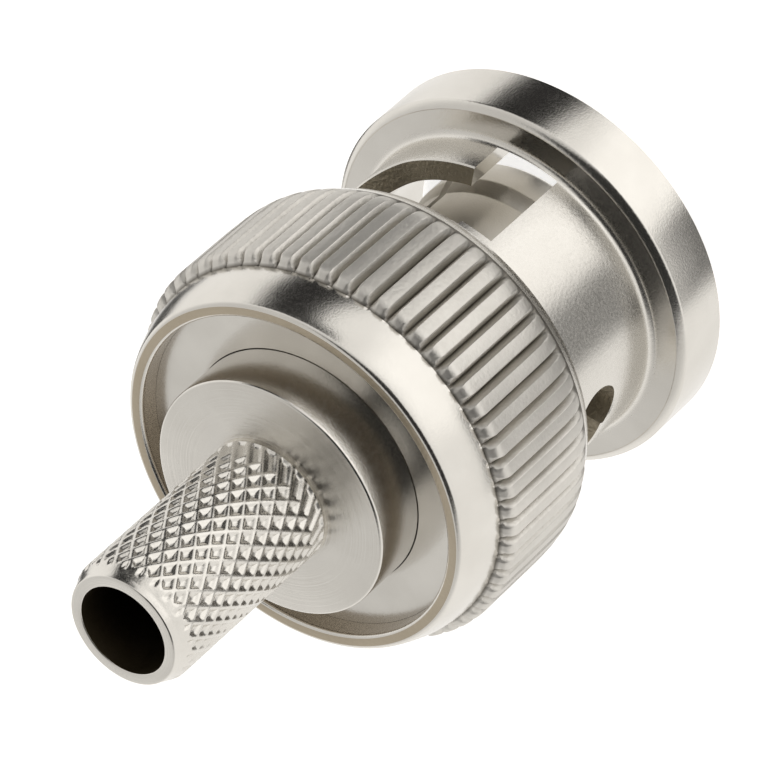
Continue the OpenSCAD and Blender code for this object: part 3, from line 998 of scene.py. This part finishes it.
@dataclass
class Studio:
    """A white studio with one bright card and a few dark ones, a pale floor and the camera.

    Lengths are in millimetres.
    """

    azimuth: float = -116.26
    elevation: float = 39.47
    roll: float = -131.94
    distance: float = 223.5
    aim: Tuple[float, float, float] = (1.605, 2.861, 6.242)
    lens: float = 311.1
    white: float = 1.06
    sky: float = 0.72
    cards: Tuple[Card, ...] = (
        Card(-124.0, -30.0, 0.42, 0.62, 0.12, 1.38),
        Card(-50.0, -25.0, 0.29, 0.62, 0.10, 0.03),
        Card(-55.0, 9.0, 0.40, 0.09, 0.05, 0.03),
        Card(-148.0, 60.0, 0.60, 0.50, 0.08, 0.03),
        Card(190.0, -62.0, 0.30, 0.46, 0.10, 0.18),
        Card(33.0, -22.0, 0.16, 0.25, 0.06, 0.06),
    )

    def camera(self) -> None:
        """Set up the camera, rolled so that the stem comes down to the left."""
        a, e = math.radians(self.azimuth), math.radians(self.elevation)
        back = Vector((math.cos(a) * math.cos(e), math.sin(a) * math.cos(e), math.sin(e)))
        right = Vector((-math.sin(a), math.cos(a), 0.0))
        up = back.cross(right)
        turn = math.radians(self.roll)
        rolled = right * math.cos(turn) + up * math.sin(turn)
        top = back.cross(rolled)
        data = bpy.data.cameras.new("camera")
        data.lens = self.lens
        data.sensor_width = 36.0
        data.clip_start = 0.01
        data.clip_end = 10.0
        camera = bpy.data.objects.new("camera", data)
        bpy.context.scene.collection.objects.link(camera)
        matrix = Matrix((rolled, top, back)).transposed().to_4x4()
        matrix.translation = (Vector(self.aim) + back * self.distance) * MM
        camera.matrix_world = matrix
        bpy.context.scene.camera = camera

    def card_mask(self, tree: NodeTree, direction: bpy.types.NodeSocket, card: Card) -> bpy.types.NodeSocket:
        """Find how much of a direction a card covers.

        Args:
            tree: The world's nodes.
            direction: The direction looked in.
            card: The card.

        Returns:
            A socket that is 1 on the card and 0 off it.
        """
        a, e = math.radians(card.azimuth), math.radians(card.elevation)
        middle = Vector((math.cos(a) * math.cos(e), math.sin(a) * math.cos(e), math.sin(e)))
        across = Vector((-math.sin(a), math.cos(a), 0.0))
        upward = middle.cross(across)
        masks = []
        for axis, half in ((across, card.half_width), (upward, card.half_height)):
            side = tree.add("ShaderNodeVectorMath", {0: direction, 1: axis}, operation="DOT_PRODUCT")
            off = tree.add("ShaderNodeMath", {0: side.outputs["Value"]}, operation="ABSOLUTE")
            masks.append(tree.add("ShaderNodeMapRange", {
                "Value": off.outputs["Value"], "From Min": half + card.soft, "From Max": half - card.soft,
            }, interpolation_type="SMOOTHSTEP").outputs["Result"])
        ahead = tree.add("ShaderNodeVectorMath", {0: direction, 1: middle}, operation="DOT_PRODUCT")
        front = tree.add("ShaderNodeMath", {0: ahead.outputs["Value"], 1: 0.0}, operation="GREATER_THAN")
        masks.append(front.outputs[0])
        both = tree.add("ShaderNodeMath", {0: masks[0], 1: masks[1]}, operation="MULTIPLY").outputs[0]
        return tree.add("ShaderNodeMath", {0: both, 1: masks[2]}, operation="MULTIPLY").outputs[0]

    def world(self) -> None:
        """Set up the white room with its cards; the camera itself sees plain white."""
        world = bpy.data.worlds.new("studio")
        bpy.context.scene.world = world
        world.use_nodes = True
        tree = NodeTree(world.node_tree)
        direction = tree.add("ShaderNodeTexCoord").outputs["Generated"]
        height = tree.add("ShaderNodeSeparateXYZ", {"Vector": direction}).outputs["Z"]
        level = tree.add("ShaderNodeMapRange", {
            "Value": height, "From Min": 0.1, "From Max": 0.7, "To Min": self.white, "To Max": self.sky,
        }, interpolation_type="SMOOTHSTEP").outputs["Result"]
        for card in self.cards:
            mask = self.card_mask(tree, direction, card)
            level = tree.add("ShaderNodeMix", {0: mask, 2: level, 3: card.level}, data_type="FLOAT").outputs[0]
        seen = tree.add("ShaderNodeLightPath").outputs["Is Camera Ray"]
        room = tree.add("ShaderNodeBackground", {"Color": linear("#fffdfa"), "Strength": level})
        white = tree.add("ShaderNodeBackground", {"Color": (1.0, 1.0, 1.0, 1.0), "Strength": 1.0})
        mixed = tree.add("ShaderNodeMixShader", {0: seen, 1: room.outputs[0], 2: white.outputs[0]})
        tree.add("ShaderNodeOutputWorld", {"Surface": mixed.outputs[0]})

    def floor(self) -> None:
        """Lay the pale floor, which shows white where no shadow falls on it."""
        deselect_all()
        bpy.ops.mesh.primitive_plane_add(size=4.0, location=(0.0, 0.0, -0.00002))
        floor = bpy.context.object
        floor.name = "floor"
        material = bpy.data.materials.new("floor_paper")
        material.use_nodes = True
        tree = NodeTree(material.node_tree)
        paper = tree.add("ShaderNodeBsdfDiffuse", {"Color": linear("#f2f1ee")})
        glow = tree.add("ShaderNodeEmission", {"Color": (1.0, 1.0, 1.0, 1.0), "Strength": 0.75})
        lit = tree.add("ShaderNodeAddShader", {0: paper.outputs[0], 1: glow.outputs[0]})
        seen = tree.add("ShaderNodeLightPath").outputs["Is Camera Ray"]
        mixed = tree.add("ShaderNodeMixShader", {0: seen, 1: paper.outputs[0], 2: lit.outputs[0]})
        tree.add("ShaderNodeOutputMaterial", {"Surface": mixed.outputs[0]})
        floor.data.materials.append(material)
        floor.visible_glossy = False

    def build(self) -> None:
        """Set up the whole studio."""
        self.camera()
        self.world()
        self.floor()
        bpy.context.scene.view_settings.view_transform = "Standard"


# ---------------------------------------------------------------- the plug


@dataclass
class Plug:
    """The whole plug: every piece, what it replaces, what it rides on and what it wears."""

    coupling: Coupling = field(default_factory=Coupling)
    body: PlugBody = field(default_factory=PlugBody)
    contacts: Contacts = field(default_factory=Contacts)

    def build(self, nodes: Dict[str, bpy.types.Object]) -> None:
        """Model, dress and seat every piece.

        Args:
            nodes: The solid model's objects by name.
        """
        finishes = {
            Zone.PLATE: NickelPlate("bright_nickel_plate", grain=0.045).build(),
            # The grip's dark second colour serves mostly as painted shade at the bottom of its grooves, and a little as
            # random mottling.
            Zone.GRIP: NickelPlate("knurled_nickel_plate", mottle_and_groove_shade="#554f44", roughness=0.48, peel_mm=0.35,
                                   grain_mm=0.13, grain=0.10, groove_shade_r=self.coupling.root_r).build(),
            Zone.SAWN: NickelPlate("sawn_nickel_plate", "#ada492", "#5d5648", roughness=0.5, grain_mm=0.12,
                                   grain=0.25).build(),
            Zone.NECK: NickelPlate("sandy_nickel_plate", roughness=0.25, grain_mm=0.1, grain=0.035).build(),
            Zone.RIM: NickelPlate("rim_nickel_plate", "#b9ae9b", "#8a7d69", roughness=0.34, grain_mm=0.1,
                                  grain=0.15).build(),
            # The recess wall's darker, browner plate is painted shade.
            Zone.RECESS: NickelPlate("recess_wall_painted_shade", "#aaa092", "#746a5b", roughness=0.26).build(),
        }
        turned_plate = NickelPlate("turned_nickel_plate", turning=Turning.FLAT_FACES, roughness=0.2).build()
        ribbed = NickelPlate("ribbed_nickel_plate", roughness=0.27, grain_mm=0.1, grain=0.05).build()
        washer_plate = NickelPlate("washer_nickel_plate", roughness=0.22, peel=0.002, grain=0.03).build()
        # The sleeve's plate is a little darker and browner than the bright plate, as painted shade for the sleeve
        # inside the coupling.
        contact_plate = NickelPlate("contact_nickel_plate", "#dcd8d0", roughness=0.36, peel=0.004).build()
        # Dark brown metal inside the bores: painted shade for the deep, unlit bores.
        bore_shade_finish = SoftFinish("bore_painted_shade", "#5a4f3c", "#3f382c", 1.0, 0.5, 0.3).build()
        ptfe = SoftFinish("ptfe_white", "#f1f0ec", "#e4e3dd", 0.0, 0.38, 0.5, 0.6).build()
        gold = SoftFinish("gold_plate", "#e8c06a", "#dcae55", 1.0, 0.2, 0.3).build()
        silicone = SoftFinish("grey_silicone", "#3d3d3b", "#333331", 0.0, 0.6, 0.2).build()
        strip = SoftFinish("spring_strip", "#b9b4aa", "#9d978b", 1.0, 0.32, 0.2).build()
        bronze = SoftFinish("phosphor_bronze", "#c39a5e", "#a9824c", 1.0, 0.3, 0.25).build()
        self.seat(self.coupling.build(finishes), "coupling", "nut")
        self.seat(self.contacts.retaining_washer(washer_plate), "retaining_washer", "nut")
        self.seat(self.body.build(turned_plate, ribbed, bore_shade_finish), "plug_body", "plug")
        self.seat(self.contacts.outer_contact(contact_plate), "outer_contact", "plug")
        self.seat(self.contacts.insulator(ptfe), "insulator", "plug")
        self.seat(self.contacts.centre_pin(gold), "centre_pin", "plug")
        self.seat(self.contacts.gasket(silicone), "face_gasket", "plug")
        dress(nodes["wave_washer"], strip)
        dress(nodes["thrust_washer"], bronze)

    def seat(self, piece: bpy.types.Object, node: str, body: str) -> None:
        """Put a piece in its node's place and on its body.

        Args:
            piece: The finished piece.
            node: The solid that it replaces.
            body: The body that it rides on.
        """
        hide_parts(node)
        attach(piece, body)
        LOG.info("%s: %d faces, on %s", piece.name, len(piece.data.polygons), body)


def main() -> None:
    """Load the frame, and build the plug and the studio."""
    logging.basicConfig(level=logging.INFO, format="%(message)s")
    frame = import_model()
    Studio().build()
    Plug().build(frame["nodes"])


if __name__ == "__main__":
    main()
